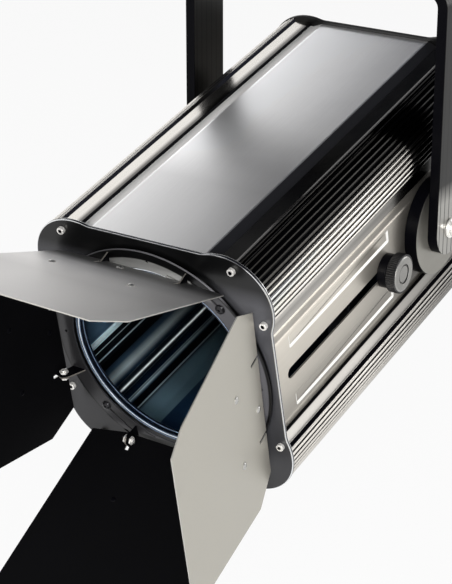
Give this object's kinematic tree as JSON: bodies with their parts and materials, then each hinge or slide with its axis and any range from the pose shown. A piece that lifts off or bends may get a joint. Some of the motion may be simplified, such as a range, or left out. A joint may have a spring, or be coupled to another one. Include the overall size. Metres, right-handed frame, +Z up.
{
  "type": "wash light",
  "caption": "Theatre wash light: long ribbed extruded housing, round front lens, rotating barndoor with folding leaves, side focus knob in a slot, and a tilting yoke to hang it by.",
  "frame": {"origin": "centre of the top face of the yoke's crossbar, between its two clamp holes", "axes": "+Z up out of the crossbar; -Y is the side the beam leaves from, +Y the rear; +X is the side with the focus knob; at rest the beam points 13.13 degrees below -Y"},
  "size_m": [0.3827, 0.821, 0.6594],
  "materials": {
    "extrusion": "satin anodised",
    "panel": "satin, warm grey",
    "plate": "satin dark grey",
    "leaf": "satin grey outside, matt black inside",
    "fastener": "zinc plated",
    "rod": "ground bright",
    "gasket": "matt",
    "glass": "clear, slightly blue",
    "lamp_glass": "clear",
    "reflector": "polished",
    "carriage": "plain sheet",
    "ceramic": "glazed white",
    "ballast": "black can",
    "black_plastic": "matt moulded",
    "focus_knob": "black with a grey face",
    "boss": "satin, dark rim",
    "yoke": "satin dark"
  },
  "bodies": {
    "yoke": {"yoke": "yoke"},
    "housing": {"corner_extrusion_top_right": "extrusion", "corner_extrusion_top_left": "extrusion", "corner_extrusion_bottom_right": "extrusion", "corner_extrusion_bottom_left": "extrusion", "top_panel": "panel", "bottom_panel": "panel", "side_panel_right": "panel", "side_panel_left": "panel", "front_plate": "plate", "rear_plate": "plate", "front_screw_1": "fastener", "front_screw_2": "fastener", "front_screw_3": "fastener", "front_screw_4": "fastener", "front_screw_5": "fastener", "front_screw_6": "fastener", "front_screw_7": "fastener", "front_screw_8": "fastener", "rear_screw_1": "fastener", "rear_screw_2": "fastener", "rear_screw_3": "fastener", "rear_screw_4": "fastener", "ring_screw_1": "fastener", "ring_screw_2": "fastener", "ring_screw_3": "fastener", "ring_screw_4": "fastener", "lens_gasket": "gasket", "front_glass": "glass", "rear_bulkhead": "carriage", "guide_rod_right": "rod", "guide_rod_left": "rod", "ballast": "ballast", "fan_frame": "black_plastic", "power_inlet": "black_plastic", "tilt_boss_right": "boss", "tilt_boss_left": "boss", "tilt_bolt": "fastener"},
    "ring": {"barndoor_ring": "plate", "hinge_bolt_top_a": "fastener", "hinge_bolt_top_b": "fastener", "hinge_bolt_right_a": "fastener", "hinge_bolt_right_b": "fastener", "hinge_bolt_bottom_a": "fastener", "hinge_bolt_bottom_b": "fastener", "hinge_bolt_left_a": "fastener", "hinge_bolt_left_b": "fastener"},
    "focus_carriage": {"lamp_carriage": "carriage", "lampholder": "ceramic", "discharge_lamp": "lamp_glass", "reflector": "reflector", "focus_stud": "black_plastic"},
    "focus_knob": {"focus_knob": "focus_knob"},
    "tilt_knob": {"tilt_knob": "black_plastic"},
    "fan_rotor": {"fan_rotor": "black_plastic"},
    "leaf_top": {"leaf_top": "leaf"},
    "leaf_right": {"leaf_right": "leaf"},
    "leaf_bottom": {"leaf_bottom": "leaf"},
    "leaf_left": {"leaf_left": "leaf"}
  },
  "joints": [
    {"name": "tilt", "type": "hinge", "parent": "yoke", "child": "housing", "pos_m": [0, 0, -0.29], "axis": [1, 0, 0], "range_deg": [-58, 92]},
    {"name": "ring_turn", "type": "hinge", "parent": "housing", "child": "ring", "pos_m": [0, -0.33598, -0.36837], "axis": [0, 0.9739, 0.2272], "range_deg": [0, 16.5]},
    {"name": "top_leaf_swing", "type": "hinge", "parent": "ring", "child": "leaf_top", "pos_m": [0.00306, -0.38592, -0.25992], "axis": [-0.9997, -0.0059, 0.0255], "range_deg": [-57, 62]},
    {"name": "right_leaf_swing", "type": "hinge", "parent": "ring", "child": "leaf_right", "pos_m": [0.12696, -0.3586, -0.37706], "axis": [-0.0262, 0.2271, -0.9735], "range_deg": [-78.6, 48.4]},
    {"name": "bottom_leaf_swing", "type": "hinge", "parent": "ring", "child": "leaf_bottom", "pos_m": [-0.00306, -0.33278, -0.48773], "axis": [0.9997, 0.0059, -0.0255], "range_deg": [-57, 62]},
    {"name": "left_leaf_swing", "type": "hinge", "parent": "ring", "child": "leaf_left", "pos_m": [-0.12696, -0.36011, -0.37058], "axis": [0.0262, -0.2271, 0.9735], "range_deg": [-78.6, 48.4]},
    {"name": "focus", "type": "slide", "parent": "housing", "child": "focus_carriage", "axis": [0, 0.9739, 0.2272], "range_m": [-0.205, 0]},
    {"name": "focus_clamp", "type": "hinge", "parent": "focus_carriage", "child": "focus_knob", "pos_m": [0.1636, -0.10323, -0.31408], "axis": [1, 0, 0], "range_deg": [0, 270]},
    {"name": "tilt_clamp", "type": "hinge", "parent": "housing", "child": "tilt_knob", "pos_m": [-0.187, 0, -0.29], "axis": [1, 0, 0], "range_deg": [0, 270]},
    {"name": "fan_spin", "type": "hinge", "parent": "housing", "child": "fan_rotor", "pos_m": [0, 0.1353, -0.23174], "axis": [0, 0.9739, 0.2272], "continuous": true}
  ]
}
